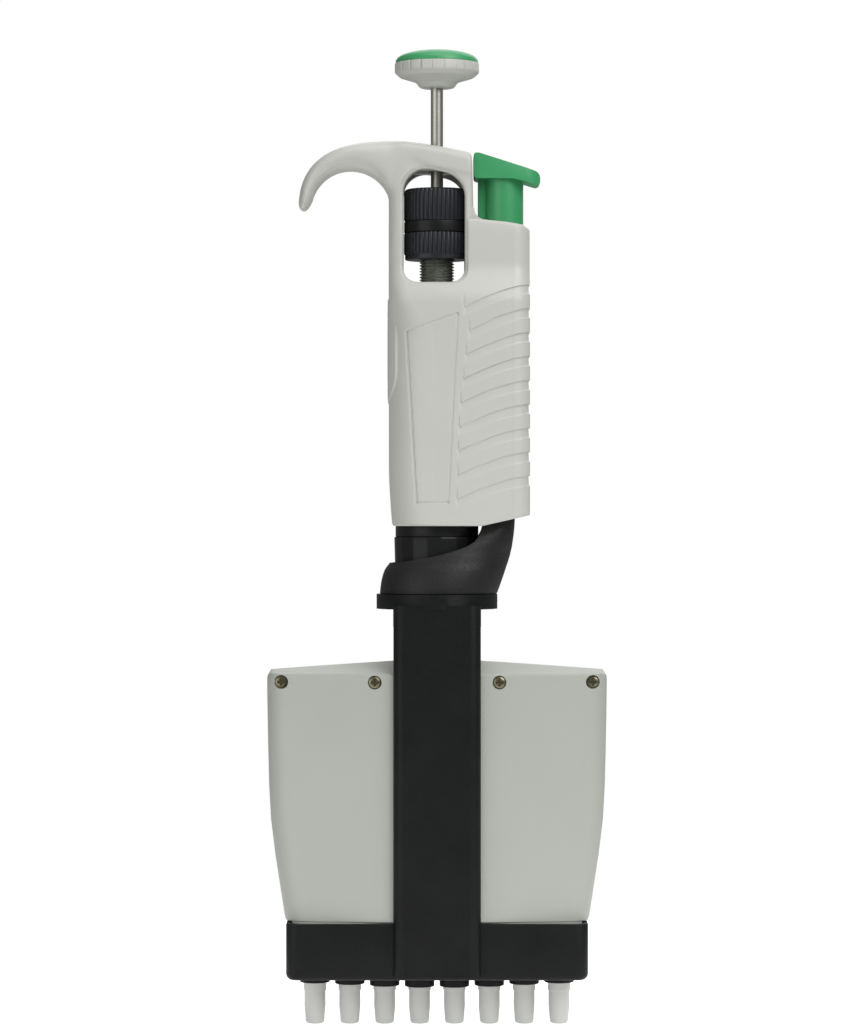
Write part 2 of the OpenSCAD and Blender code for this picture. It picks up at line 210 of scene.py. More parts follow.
def smoothAgain(piece, smooth=35):
    choose(piece)
    bpy.ops.object.shade_smooth_by_angle(angle=radians(smooth))


def install(piece, body, material, slotName, *nodes):
    piece.data.materials.clear()
    piece.data.materials.append(material)
    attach(piece, body)
    if nodes:
        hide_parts(*nodes)
    return piece


def installHalves(whole, body, material, slotName):
    # the halves of a moulding, cut at the parting plane y = 0
    reach = 40  # mm, clear of every moulding
    for side, low in (("front", -reach), ("rear", 0)):
        tool = slab("sideTool", rectangle(-60, 60, 0, 260), low, low + reach)
        half = combine(copyOf(whole, f"{body}_{side}_moulding"), tool, "INTERSECT")
        smoothAgain(half, 30)
        install(half, body, material, slotName, f"{body}_{side}_shell")
    bpy.data.objects.remove(whole)


def linear(hexColour):
    parts = [int(hexColour[i:i + 2], 16) / 255 for i in (1, 3, 5)]
    return tuple(c / 12.92 if c <= 0.04045 else ((c + 0.055) / 1.055) ** 2.4 for c in parts) + (1,)


def addNode(tree, kind, inputs, **settings):
    node = tree.nodes.new(kind)
    for key, value in settings.items():
        setattr(node, key, value)
    for key, value in inputs.items():
        if isinstance(value, bpy.types.NodeSocket):
            tree.links.new(value, node.inputs[key])
        else:
            node.inputs[key].default_value = value
    return node


def newMaterial(name, **sockets):
    material = bpy.data.materials.new(name)
    material.use_nodes = True
    shader = material.node_tree.nodes["Principled BSDF"]
    for key, value in sockets.items():
        shader.inputs[key.replace("_", " ")].default_value = value
    return material, shader


def dressSurface(tree, shader, colours, drift, relief, glossRange, strength, depth):
    # drift mixes the two colours; relief moves the gloss and the surface, depth in mm
    blend = addNode(tree, "ShaderNodeMix", {"Factor": drift.outputs["Fac"]}, data_type="RGBA")
    blend.inputs["A"].default_value = linear(colours[0])
    blend.inputs["B"].default_value = linear(colours[1])
    gloss = addNode(tree, "ShaderNodeMapRange",
                    {"Value": relief.outputs["Fac"], "To Min": glossRange[0], "To Max": glossRange[1]})
    bump = addNode(tree, "ShaderNodeBump",
                   {"Height": relief.outputs["Fac"], "Strength": strength, "Distance": depth * mm})
    tree.links.new(blend.outputs["Result"], shader.inputs["Base Color"])
    tree.links.new(gloss.outputs["Result"], shader.inputs["Roughness"])
    tree.links.new(bump.outputs["Normal"], shader.inputs["Normal"])


def grained(name, tone, shade, roughness, spread, grain, depth, **sockets):
    # a moulded surface: its colour drifts slowly from tone to shade, and grain is in mm
    material, shader = newMaterial(name, **sockets)
    tree = material.node_tree
    where = addNode(tree, "ShaderNodeTexCoord", {}).outputs["Object"]
    drift = addNode(tree, "ShaderNodeTexNoise",
                    {"Vector": where, "Scale": 1 / (14 * mm), "Detail": 3.0, "Roughness": 0.6})
    fine = addNode(tree, "ShaderNodeTexNoise",
                   {"Vector": where, "Scale": 1 / (grain * mm), "Detail": 2.0, "Roughness": 0.5})
    glossRange = (roughness - spread, roughness + spread)
    dressSurface(tree, shader, (tone, shade), drift, fine, glossRange, 0.6, depth)
    return material


def machined(name, tone, shade, roughness, pitch, depth, stretch):
    # fine tool lines, pitch in mm, drawn out along the axes where stretch is small
    material, shader = newMaterial(name, Metallic=1.0)
    tree = material.node_tree
    where = addNode(tree, "ShaderNodeTexCoord", {}).outputs["Object"]
    drawn = addNode(tree, "ShaderNodeMapping", {"Vector": where, "Scale": stretch})
    lines = addNode(tree, "ShaderNodeTexNoise",
                    {"Vector": drawn.outputs["Vector"], "Scale": 1 / (pitch * mm), "Detail": 3.0})
    dressSurface(tree, shader, (tone, shade), lines, lines, (roughness * 0.8, roughness * 1.3), 0.4, depth)
    return material


# ABS, moulded in a spark-eroded tool: a soft sheen over a very fine even grain
handlePlastic = grained("satinAbsWarmGrey", "#c3c4bd", "#bebfb8", 0.42, 0.05, 0.3, 0.012, IOR=1.53)
# polypropylene shells of the module, a little darker and duller
shellPlastic = grained("satinPolypropyleneGrey", "#a8aba3", "#a3a69e", 0.46, 0.05, 0.35, 0.012, IOR=1.49)
# polypropylene nozzles, smooth from a polished tool
nozzlePlastic = grained("polishedPolypropyleneGrey", "#c9cac6", "#c3c4c0", 0.33, 0.04, 0.5, 0.006, IOR=1.49)
# coloured ABS of the button and the cap
greenPlastic = grained("satinAbsGreen", "#3b9c63", "#38975e", 0.40, 0.05, 0.3, 0.010, IOR=1.53)
# glass-filled nylon of the knob, faintly blue
knobPlastic = grained("mouldedNylonBlack", "#22252a", "#1c1f24", 0.36, 0.06, 0.3, 0.015, IOR=1.53,
                      Specular_IOR_Level=0.3)
# acetal nut, neck and knob band
nutPlastic = grained("mouldedAcetalBlack", "#151616", "#121313", 0.38, 0.05, 0.35, 0.01, IOR=1.48,
                     Specular_IOR_Level=0.25)
# ejector arm, sprayed look of a coarse spark-eroded tool
armPlastic = grained("texturedNylonBlack", "#262726", "#121312", 0.50, 0.14, 0.75, 0.10, IOR=1.53,
                     Specular_IOR_Level=0.25)
# ejector column and bar, a finer tool with a soft gloss
columnPlastic = grained("satinNylonBlack", "#1b1d1c", "#0d0f0e", 0.44, 0.14, 0.6, 0.085, IOR=1.53,
                        Specular_IOR_Level=0.13)
# acetal counter rings and sleeve
counterWhite = grained("mouldedAcetalWhite", "#e4e4df", "#dddcd6", 0.4, 0.04, 0.4, 0.005, IOR=1.48)
# ink of the numerals
digitInk = grained("printedInkBlack", "#141414", "#1a1a1a", 0.55, 0.05, 0.2, 0.004, IOR=1.5)
# nitrile rubber of the seals
sealRubber = grained("mouldedNitrileBlack", "#1b1b1b", "#242424", 0.6, 0.08, 0.3, 0.01, IOR=1.52)
# ground stainless rod, lines run round it
rodSteel = machined("groundStainlessSteel", "#c6c5bc", "#a6a59c", 0.36, 0.2, 0.004, (0.2, 0.2, 1.0))
# grey phosphated screw with a cut thread
screwSteel = machined("phosphatedSteel", "#b4b8b1", "#8f938c", 0.48, 0.3, 0.006, (0.3, 0.3, 1.0))
# drawn spring wire, faintly mottled
springSteel = machined("drawnSpringSteel", "#9a9a98", "#747472", 0.3, 0.3, 0.004, (1.0, 1.0, 1.0))
# turned brass of the nut, the washer and the collar, lines run round
turnedBrass = machined("turnedBrass", "#c9a659", "#ab8a44", 0.3, 0.3, 0.004, (0.3, 0.3, 1.0))
# milled aluminium plates, lines run from front to back
plateAluminium = machined("milledAluminium", "#c4c5c7", "#a9aaac", 0.33, 0.35, 0.005, (1.0, 0.2, 0.2))
# tarnished nickel plating of the shell screws
screwNickel = machined("nickelPlatedSteel", "#8f8972", "#6f6a55", 0.3, 0.3, 0.004, (1.0, 1.0, 1.0))
# clear polycarbonate over the counter
lensClear, lensShader = newMaterial("clearPolycarbonate", IOR=1.58, Roughness=0.06)
lensShader.inputs["Base Color"].default_value = linear("#f2f6f6")
lensShader.inputs["Transmission Weight"].default_value = 0.95
lensShader.inputs["Alpha"].default_value = 0.45
print("materials made")


cameraView = {
    "place": (-2.7 * mm, -930 * mm, 131.9 * mm),  # level with the grip's foot, a little left
    "lens": 126.6,
    "sensor": 36.0,
}
lamps = [  # name, place in m, size in m, watts
    ("keyLamp", (0.75, -0.95, 0.95), 0.9, 13.5),
    ("fillLamp", (-0.95, -0.95, 0.3), 1.1, 5.2),
    ("topLamp", (0.1, -0.15, 1.2), 0.9, 5.5),
    ("rimLamp", (0.2, 0.9, 0.7), 0.9, 3.5),
]
room = {"unseen": 0.2, "seen": 1.0}  # strength of the surroundings as light, and behind the object
paper = {"size": 0.5, "level": -0.0005, "colour": "#fbfbfa", "unseen": 0.4, "seen": 0.85}  # lengths in m


def brightness(tree, levels):
    # one strength for the light that falls on things, another for what the camera sees
    rays = addNode(tree, "ShaderNodeLightPath", {})
    mixed = addNode(tree, "ShaderNodeMapRange", {"Value": rays.outputs["Is Camera Ray"],
                                                 "To Min": levels["unseen"], "To Max": levels["seen"]})
    return mixed.outputs["Result"]


def makeStudio():
    bpy.ops.object.camera_add(location=cameraView["place"], rotation=(math.pi / 2, 0, 0))
    camera = bpy.context.object
    camera.data.lens = cameraView["lens"]
    camera.data.sensor_width = cameraView["sensor"]
    camera.data.clip_end = 20
    bpy.context.scene.camera = camera
    middle = Vector((0, 0, 0.13))
    for name, where, size, power in lamps:
        bpy.ops.object.light_add(type="AREA", location=where)
        lamp = bpy.context.object
        lamp.name = name
        lamp.data.size = size
        lamp.data.energy = power
        lamp.rotation_euler = (middle - Vector(where)).to_track_quat("-Z", "Y").to_euler()
    world = bpy.context.scene.world or bpy.data.worlds.new("studio")
    bpy.context.scene.world = world
    world.use_nodes = True
    # white behind the object, and only a low even light from it
    tree = world.node_tree
    back = tree.nodes["Background"]
    back.inputs["Color"].default_value = (1, 1, 1, 1)
    tree.links.new(brightness(tree, room), back.inputs["Strength"])
    bpy.context.scene.view_settings.view_transform = "Standard"


def makeFloor():
    deselectAll()
    bpy.ops.mesh.primitive_plane_add(size=paper["size"], location=(0, 0, paper["level"]))
    floor = nameIt("paleFloor")
    # uncoated paper, glowing a little to the camera so that shadows on it stay faint
    material, shader = newMaterial("palePaper", Roughness=0.9)
    shader.inputs["Base Color"].default_value = linear(paper["colour"])
    shader.inputs["Emission Color"].default_value = (1, 1, 1, 1)
    tree = material.node_tree
    tree.links.new(brightness(tree, paper), shader.inputs["Emission Strength"])
    floor.data.materials.append(material)


makeStudio()
makeFloor()
print("studio set")


handle = {  # mm
    "bottom": 128.3, "slopeStart": 11.4, "slopeTop": 131.1,
    "left": -12.4, "right": 23.8, "gripDepth": 12.9, "headDepth": 9.4,
    "crown": 0.5, "edge": 0.8,
    "gapCentre": (-22.15, 209.7), "gapRadius": 10.3, "gapFrom": 159.8, "gapTurn": 141.8,  # last two in degrees
    "back": ((-35.55, 212.8), (-35.3, 214.8), (-34.6, 216.9), (-33.75, 218.9), (-32.4, 220.95),
             (-30.1, 223.0), (-26.8, 225.05), (-22.9, 226.35), (-19.8, 226.9), (-16.7, 227.2),
             (-13.6, 227.4), (-11.4, 227.4)),
    "bridge": ((-9.4, 227.3, 220.8), (-6.6, 227.0, 220.9), (-3.5, 226.6, 220.4), (-0.8, 226.1, 219.8),
               (2.0, 225.65, 219.2), (4.6, 225.15, 218.55), (7.0, 224.65, 217.95), (8.1, 224.4, 217.75)),
    "axisBore": 10.2, "knobSpace": 8.8, "postX": 17.25, "postBore": 5.3,
}
gripLines = {  # channels across the right of the grip, mm
    "first": 190.1, "pitch": 6.12, "count": 9, "drop": 6.0, "bend": 1.5,
    "leftEnds": (6.8, 8.1, 7.3, 6.6, 5.9, 5.5, 5.3, 5.1, 4.9),
    "width": 2.4, "depth": 0.42, "edge": 0.16, "tailDepth": 0.26,
}
labelPanel = [(-7.9, 178.0), (5.2, 182.5), (2.8, 134.3), (-5.3, 134.3)]
labelDepth = 0.27  # of the groove round the panel, mm


def ease(low, high, x):
    t = np.clip((x - low) / (high - low), 0, 1)
    return t * t * (3 - 2 * t)


def faceDepth(z):
    # half depth of the front face, thick at the grip and thin beside the window
    return handle["gripDepth"] + (handle["headDepth"] + 0.2 - handle["gripDepth"]) * ease(185.5, 195.5, z)


def gripSection(z, grow=0.0, frontCount=104, arcCount=14, sideCount=5, leftCount=64):
    # points and outward normals of the grip's section at level z
    left = handle["left"] + (1 - ease(128, 150, z)) * 1.0 - grow
    right = handle["right"] + grow
    depth = faceDepth(z) + grow
    leftR = min(depth - 0.5, 11.5 - 7.0 * ease(182, 196, z))
    rightR = 4.5
    flatCount = 3  # points down the narrow flat at the left
    points, normals = [], []

    def arc(cx, cy, r, a0, a1, count=arcCount):
        for i in range(count):
            a = radians(a0 + (a1 - a0) * i / (count - 1))
            points.append((cx + r * cos(a), cy + r * sin(a)))
            normals.append((cos(a), sin(a)))

    xs = np.linspace(left + leftR, right - rightR, frontCount + 2)[1:-1]
    middle, half = (xs[0] + xs[-1]) / 2, (xs[-1] - xs[0]) / 2
    for x in xs:
        points.append((x, -depth - handle["crown"] * (1 - ((x - middle) / half) ** 2)))
        normals.append((0, -1))
    arc(right - rightR, -depth + rightR, rightR, -90, 0)
    for y in np.linspace(-depth + rightR, depth - rightR, sideCount + 2)[1:-1]:
        points.append((right, y))
        normals.append((1, 0))
    arc(right - rightR, depth - rightR, rightR, 0, 90)
    for x in xs[::-1]:
        points.append((x, depth + handle["crown"] * (1 - ((x - middle) / half) ** 2)))
        normals.append((0, 1))
    arc(left + leftR, depth - leftR, leftR, 90, 180)
    for y in np.linspace(depth - leftR, -depth + leftR, flatCount + 2)[1:-1]:
        points.append((left, y))
        normals.append((-1, 0))
    arc(left + leftR, -depth + leftR, leftR, 180, 270, leftCount)
    return np.array(points), np.array(normals)


def reliefHeight(x, y, z):
    # how far the surface stands in or out at a point, for the grip channels and the label panel
    out = np.zeros_like(x)
    g = gripLines
    reach = handle["right"]
    for k in range(g["count"]):
        leftX = g["leftEnds"][k]
        u = np.clip((reach - x) / (reach - leftX), 0, 1)
        top = g["first"] - k * g["pitch"] - g["drop"] * u ** g["bend"]
        t = top - z
        inside = ease(leftX - 0.25, leftX + 0.25, x)
        near = ease(0, g["edge"], t) * (1 - ease(g["width"] - g["edge"], g["width"] + g["edge"], t))
        low = 0.65 * (1 - u)
        fall = 1 - (1 - low) * np.clip(t / g["width"], 0, 1)
        out -= g["depth"] * inside * near * fall
        rise = z - (g["first"] - k * g["pitch"] - g["drop"])
        # a short upright groove over the channel's left end
        upright = ease(-0.2, 0.1, rise) * (1 - ease(1.8, 3.2, rise))
        out -= g["tailDepth"] * (1 - ease(0.12, 0.36, np.abs(x - leftX))) * upright
    for a, b in zip(labelPanel, labelPanel[1:] + labelPanel[:1]):
        ax, az, bx, bz = *a, *b
        dx, dz = bx - ax, bz - az
        s = np.clip(((x - ax) * dx + (z - az) * dz) / (dx * dx + dz * dz), 0, 1)
        away = np.hypot(x - ax - s * dx, z - az - s * dz)
        out -= np.where(y < 0, labelDepth * (1 - ease(0.1, 0.44, away)), 0)
    return out


def shoulderHeight(x):
    return np.interp(x, (10.2, 17.4, 22.0, 23.2), (206.9, 206.2, 205.5, 204.8))


def bottomHeight(x):
    return np.interp(x, (handle["slopeStart"], handle["right"]), (handle["bottom"], handle["slopeTop"]))


def gripLevels():
    # levels at the edges of every channel and evenly between them
    g = gripLines
    levels = []
    for low, high, step in ((128.0, 134, 0.5), (134, 138, 0.36), (191, 203.6, 0.6)):
        levels += list(np.arange(low, high, step))
    for k in range(g["count"]):
        top = g["first"] - k * g["pitch"]
        levels += [top + 0.03, top - 0.08, top - 0.17]
        levels += [top - g["width"] + 0.17, top - g["width"], top - g["width"] - 0.17]
        levels += list(np.linspace(top - 0.5, top - g["width"] + 0.45, 5))
        levels += list(np.linspace(top - g["width"] - 0.5, top - g["pitch"] + 0.35, 9))
    return sorted(levels)


def channelSag(x, level):
    # the sections follow the sweep of the channels, and are level at the top and the bottom of the grip
    g = gripLines
    u = np.clip((handle["right"] - x) / (handle["right"] - 6.5), 0, 1)
    weight = ease(124, 138, level) * (1 - ease(190.5, 203, level))
    return g["drop"] * u ** g["bend"] * weight


def gripRings():
    edge = handle["edge"]
    rings = []

    def rim(level, turns, radius, height, side):
        # side is 1 where the rim rises from the height, and -1 where it drops
        points, normals = gripSection(level)
        for turn in turns:
            a = radians(turn)
            flat = points - normals * radius * (1 - cos(a))
            rings.append([(x, y, height(x) + side * radius * (1 - sin(a))) for x, y in flat])

    rim(130, (90, 60, 30), edge / 2, bottomHeight, 1)
    for level in gripLevels():
        points, normals = gripSection(level)
        x = points[:, 0]
        z = level - channelSag(x, level)
        deep = np.array([faceDepth(h) for h in z]) / faceDepth(level)
        y = points[:, 1] * deep
        move = reliefHeight(x, y, z)
        lowest = bottomHeight(x) + edge * 0.5 + 0.02 * (level - 128)
        rings.append(list(zip(x + normals[:, 0] * move, y + normals[:, 1] * move, np.maximum(z, lowest))))
    rim(206, (0, 30, 60, 90), edge, shoulderHeight, -1)
    return rings


def travelled(points):
    # the way gone along a line of points at each of them
    return np.concatenate([[0], np.cumsum(np.linalg.norm(np.diff(points, axis=0), axis=1))])


def resampled(loop, count):
    # a closed loop with a new number of points, evenly spaced
    p = np.array(list(loop) + [loop[0]])
    gone = travelled(p)
    at = np.linspace(0, gone[-1], count + 1)[:-1]
    return np.column_stack([np.interp(at, gone, p[:, k]) for k in range(p.shape[1])])


def evenLoop(loop, step=0.5):
    length = travelled(np.array(list(loop) + [loop[0]]))[-1]
    return resampled(loop, int(length / step))


def headRings():
    d = handle["headDepth"]
    top = 221.2
    rings = []
    for z in (196, 199, 202, 204, 206, 208, 210, 212, 215, 217, 219, 220, top):
        plan = roundedPlan(handle["left"], 9.35 - 0.3 * ease(207, 223, z), -d, d, 4.0, 1.3)
        # the left wall swells to the depth of the hook that grows out of it
        # and the top rises to the left, inside the bridge
        swell = 0.055 * ease(197, 213, z)
        lift = 2.2 if z == top else 0.0
        rings.append([(x, y * (1 + swell * (1 - ease(-8.5, -5.0, x))), z + lift * (1 - ease(-5, 6, x)))
                      for x, y in evenLoop(plan, 0.6)])
    count = min(len(ring) for ring in rings)
    return [resampled(ring, count).tolist() for ring in rings]


def squared(value, power):
    # a sine or a cosine drawn towards the corners of a square
    return math.copysign(abs(value) ** (2 / power), value)


def sweptSection(outer, inner, depth, power, innerPower=None, count=64):
    # a soft-cornered section between an outer and an inner point, depth each way
    middle = (np.array(outer) + np.array(inner)) / 2
    half = (np.array(outer) - np.array(inner)) / 2
    ring = []
    for i in range(count):
        a = 2 * math.pi * i / count
        square = power if cos(a) > 0 or not innerPower else innerPower
        p = middle + half * squared(cos(a), square)
        ring.append((p[0], depth * squared(sin(a), square), p[1]))
    return ring


def smoothPath(points, share):
    # a point on an even curve through the points, share of the way along it
    p = np.array(points)
    gone = travelled(p)
    degree = 6
    curve = np.polyfit(gone / gone[-1], p, degree)
    return np.array([np.polyval(curve[:, k], share) for k in (0, 1)])


def gapPoint(share):
    # a point on the round inner side of the hook
    a = radians(handle["gapFrom"] - handle["gapTurn"] * share)
    return np.array(handle["gapCentre"]) + handle["gapRadius"] * np.array((cos(a), sin(a)))


def hookRings():
    rings = []
    tipOut, tipIn = smoothPath(handle["back"], 0), gapPoint(0)
    tipMiddle, tipHalf = (tipOut + tipIn) / 2, (tipOut - tipIn) / 2
    for s in (0.985, 0.94, 0.86, 0.74, 0.58, 0.4, 0.2):  # rounded tip
        squeeze = math.sqrt(1 - s * s)
        centre = tipMiddle + np.array((-0.75, -3.4)) * s
        rings.append(sweptSection(centre + tipHalf * squeeze, centre - tipHalf * squeeze,
                                  7.3 * (0.6 + 0.4 * squeeze), 2.3))
    for t in np.linspace(0, 1, 39):
        depth = 7.4 + 2.5 * ease(0.1, 0.95, t)
        rings.append(sweptSection(smoothPath(handle["back"], t), gapPoint(t), depth, 2.3 + 1.3 * t ** 2))
    depth, power = 9.95, 4.0
    for x, top, low in handle["bridge"]:
        rings.append(sweptSection((x, top), (x, low), depth, power, 3.6 + 6.4 * ease(-7, -1, x)))
    for turn in (30, 60, 90):  # rounded right end
        inset = 0.7 * (1 - cos(radians(turn)))
        x = 8.1 + 0.8 * sin(radians(turn))
        rings.append(sweptSection((x, 224.35 - inset), (x + 0.1, 217.7 + inset), depth - inset, power, 10.0))
    return rings


def offsetLoop(points, out):
    # an anticlockwise loop moved outwards
    p = np.array(points)
    along = np.roll(p, -1, axis=0) - np.roll(p, 1, axis=0)
    along /= np.linalg.norm(along, axis=1)[:, None]
    return p + np.column_stack([along[:, 1], -along[:, 0]]) * out


def windowCutter():
    # an opening with softly rounded rims at the front and the back
    rim = 0.9
    corners = [(-8.65, 190.7, 3.6), (7.1, 190.7, 3.6), (7.1, 217.7, 6.2), (-8.65, 221.0, 5.8)]
    arch = evenLoop(fillet(corners, 12))
    turns = [radians(a) for a in (0, 25, 45, 65, 82)]
    profile = [(rim * (sin(a) - 1), rim * (1 - cos(a))) for a in turns]
    profile += [(0.15, rim * 1.02), (8, rim * 1.02)]
    rings = []
    for side, order in ((-1, profile[::-1]), (1, profile)):
        for away, out in order:
            loop = offsetLoop(arch, out)
            rings.append([(x, side * (faceDepth(z) - 0.2 + away), z) for x, z in loop])
    return loft("windowTool", rings)


def makeRecessCorner():
    # the fillet where the ejector's recess meets the window's right wall
    radius, x, z = 3.0, 12.5, 209.7
    turns = [radians(a) for a in range(270, 179, -10)]
    bend = [(x + radius * cos(a), z + radius * sin(a)) for a in turns]
    return slab("cornerBody", [(8.6, 210.2), (8.6, 203.0), (13.2, 203.0), (13.2, 206.6)] + bend, -9.1, 9.1)


def blend(piece):
    # the hook, the bridge and the head are run together, softest where they meet
    choose(piece)
    remesh = piece.modifiers.new("remesh", "REMESH")
    remesh.mode = "VOXEL"
    remesh.voxel_size = 0.32 * mm
    bpy.ops.object.modifier_apply(modifier=remesh.name)
    meeting = piece.vertex_groups.new(name="meeting")
    for v in piece.data.vertices:
        x, z = v.co.x / mm, v.co.z / mm
        weight = ease(-24, -16, x) * (1 - ease(-7.5, -3, x)) * ease(198, 204, z)
        if weight > 0:
            meeting.add([v.index], weight, "REPLACE")
    for name, rounds, group in (("evenOut", 18, ""), ("soften", 90, "meeting")):
        smooth = piece.modifiers.new(name, "SMOOTH")
        smooth.factor = 0.5
        smooth.iterations = rounds
        smooth.vertex_group = group
        bpy.ops.object.modifier_apply(modifier=smooth.name)
    piece.vertex_groups.clear()
    smoothAgain(piece, 40)


def makeHandle():
    grip = loft("gripBody", gripRings(), 32)
    head = loft("headBody", headRings(), 32)
    combine(head, loft("hookBody", hookRings(), 32), "UNION")
    blend(head)
    combine(grip, head, "UNION")
    combine(grip, makeRecessCorner(), "UNION")
    combine(grip, windowCutter())
    bore = [(0, 127), (9.95, 127), (9.95, 140), (handle["axisBore"], 140), (handle["axisBore"], 189.2),
            (4.75, 189.2), (4.75, 191.5), (handle["knobSpace"], 191.5), (handle["knobSpace"], 219.6),
            (2.1, 219.6), (2.1, 223.4), (5.5, 223.4), (5.5, 232), (0, 232)]
    combine(grip, turned("boreTool", bore))
    post = [(0, 145), (2, 145), (2, 152), (handle["postBore"], 152), (handle["postBore"], 212), (0, 212)]
    combine(grip, turned("postTool", post, centre=(handle["postX"], 0)))
    combine(grip, slab("tongueTool", rectangle(12.2, 20.6, 125, 148), -6.5, 6.5))
    combine(grip, slab("finTool", rectangle(10.3, 13.3, 198.6, 210.6), -3.3, 3.3))
    combine(grip, slab("displayTool", roundedPlan(-3, 3, 163.5, 182.5, 0.6, 0.6, 3), -16, -6, plane="YZ"))
    installHalves(grip, "handle", handlePlastic, "handle_grey")


makeHandle()
print("handle made")


display = {"low": 159.8, "high": 186.8, "half": 8.4, "proud": 0.4, "glass": (-2.9, 2.9, 163.6, 182.4)}


def wallBand(name, grow, depth):
    # a thick copy of the grip's left wall, to be trimmed to an outline
    def wall(part, levels, grown):
        rings = []
        for z in levels:
            points, _ = gripSection(z, grown(z), frontCount=8, arcCount=26)
            rings.append([(x, y, z) for x, y in points])
        return loft(part, rings)

    inner = wall(name + "Inner", np.arange(157.0, 190.5, 1.0), lambda z: grow - depth)
    outer = wall(name, np.arange(158.0, 189.5, 0.5), lambda z: grow * (1 - ((z - 173.3) / 16.5) ** 4))
    return combine(outer, inner)


def makeDisplay():
    d = display
    oval = roundedPlan(-d["half"], d["half"], d["low"], d["high"], 8.3, 8.3, 14)
    opening = roundedPlan(*d["glass"], 0.6, 0.6, 4)
    bezel = wallBand("display_surround", d["proud"], 0.8)
    combine(bezel, slab("ovalTool", oval, -16, -4, plane="YZ"), "INTERSECT")
    combine(bezel, slab("glassTool", opening, -16, -4, plane="YZ"))
    smoothAgain(bezel)
    install(bezel, "handle", handlePlastic, "handle_grey", "display_bezel")
    inside = [(y * 0.97, 173 + (z - 173) * 0.99) for y, z in opening]
    lens = wallBand("display_window", 0.15, 0.7)
    combine(lens, slab("lensTool", inside, -16, -4, plane="YZ"), "INTERSECT")
    smoothAgain(lens)
    install(lens, "handle", lensClear, "clear_lens", "display_lens")


makeDisplay()
print("display made")


button = {"radius": 10.9, "hub": 5.3, "foot": 4.4, "rod": 1.6, "low": 241.3, "top": 248.0, "cap": 251.1,
          "notches": 22, "notch": 0.14}


def makePlunger():
    b = button
    rod, r = b["rod"], b["radius"]
    profile = fillet([(rod, b["low"], 0.1), (b["foot"], b["low"], 1.1), (b["hub"], 242.6, 0.5),
                      (b["hub"] + 0.6, 242.95, 0.5), (r - 1.3, 244.1, 1.5), (r, 245.3, 0.8),
                      (r, b["top"] - 0.35, 0.2), (rod, b["top"] - 0.35)])
    disc = turned("thumb_button", profile, sides=128)
    for i in range(b["notches"]):  # fine upright notches round the band
        a = 2 * math.pi * (i + 0.1) / b["notches"]
        c, d = cos(a), sin(a)
        cut = rectangle(r - b["notch"], r + 1, -b["notch"], b["notch"])
        cut = [(x * c - y * d, x * d + y * c) for x, y in cut]
        combine(disc, slab("notchTool", cut, 245.2, 248.5, plane="XY"))
    install(disc, "plunger", handlePlastic, "handle_grey", "push_button")
    rim = r - 0.2
    foot = b["top"] - 0.3
    rise = b["cap"] - foot
    dome = [(rim * sin(radians(a)), foot + rise * cos(radians(a)) ** 0.78)
            for a in range(0, 90, 5)]
    cap = turned("thumb_button_cap", [(0, foot)] + dome + [(rim, foot)], sides=128, smooth=50)
    install(cap, "plunger", greenPlastic, "green_plastic", "button_cap")
    outline = fillet([(0, 121.1), (rod, 121.1, 0.3), (rod, 243.5), (0, 243.5)])
    shaft = turned("plunger_shaft", outline, sides=48)
    install(shaft, "plunger", rodSteel, "steel", "plunger_rod")


makePlunger()
print("plunger made")


knob = {"radius": 8.55, "flutes": 44, "flute": 0.3, "top": 215.1, "low": 206.8, "bandLow": 203.9,
        "lock": 198.3, "rim": 196.9}
thread = {"crest": 4.53, "root": 3.95, "bore": 2.15, "pitch": 0.75, "low": 172.2, "top": 203.7,
          "sides": 56, "turnSteps": 10}


def closedRing(name, sections):
    # round sections as (radius, level) or fluted ones as (radius, level, depth);
    # the last joins the first, so the loft closes through the bore
    count = knob["flutes"] * 8
    rings = []
    for radius, z, *depth in sections:
        ring = []
        for i in range(count):
            a = 2 * math.pi * i / count
            groove = (1 - abs(sin(knob["flutes"] * a / 2))) ** 1.4
            r = radius - sum(depth) * groove
            ring.append((r * cos(a), r * sin(a), z))
        rings.append(ring)
    return loft(name, rings + rings[:1], 28, capped=False)


def onCylinder(ring, radius, z):
    return [(radius * x / math.hypot(x, y), radius * y / math.hypot(x, y), z) for x, y, _ in ring]


def makeKnob():
    k = knob
    r, f = k["radius"], k["flute"]
    low, top = k["low"], k["top"]
    upper = closedRing("volume_knob_ring", [
        (r - 0.9, low + 0.05), (r - 0.25, low + 0.05, 0.1), (r - 0.08, low + 0.3, f), (r, low + 0.6, f),
        (r, top - 1.0, f), (r - 0.1, top - 0.55, f), (r - 0.35, top - 0.2, f * 0.6), (r - 0.75, top),
        (2.6, top), (2.1, top - 0.3), (2.1, k["bandLow"]), (4.95, k["bandLow"]), (4.95, low + 0.05)])
    install(upper, "knob", knobPlastic, "knob_black", "volume_knob")
    band = turned("volume_knob_band", fillet([(5.0, k["bandLow"]), (r - 0.06, k["bandLow"], 0.2),
                                              (r - 0.06, low - 0.05, 0.2), (5.0, low - 0.05)]), sides=128)
    install(band, "knob", nutPlastic, "knob_black", "knob_band")
    lockTop, lock, rim = k["bandLow"] - 0.1, k["lock"], k["rim"]
    lower = closedRing("lock_ring_moulding", [
        (4.6, rim), (r - 0.5, rim), (r - 0.3, rim + 0.2), (r - 0.3, lock - 0.15), (r - 0.2, lock - 0.05, 0.1),
        (r - 0.05, lock + 0.1, f), (r, lock + 0.4, f), (r, lockTop - 0.4, f), (r - 0.1, lockTop - 0.1, f),
        (r - 0.5, lockTop), (4.6, lockTop)])
    install(lower, "lock", knobPlastic, "knob_black", "lock_ring")


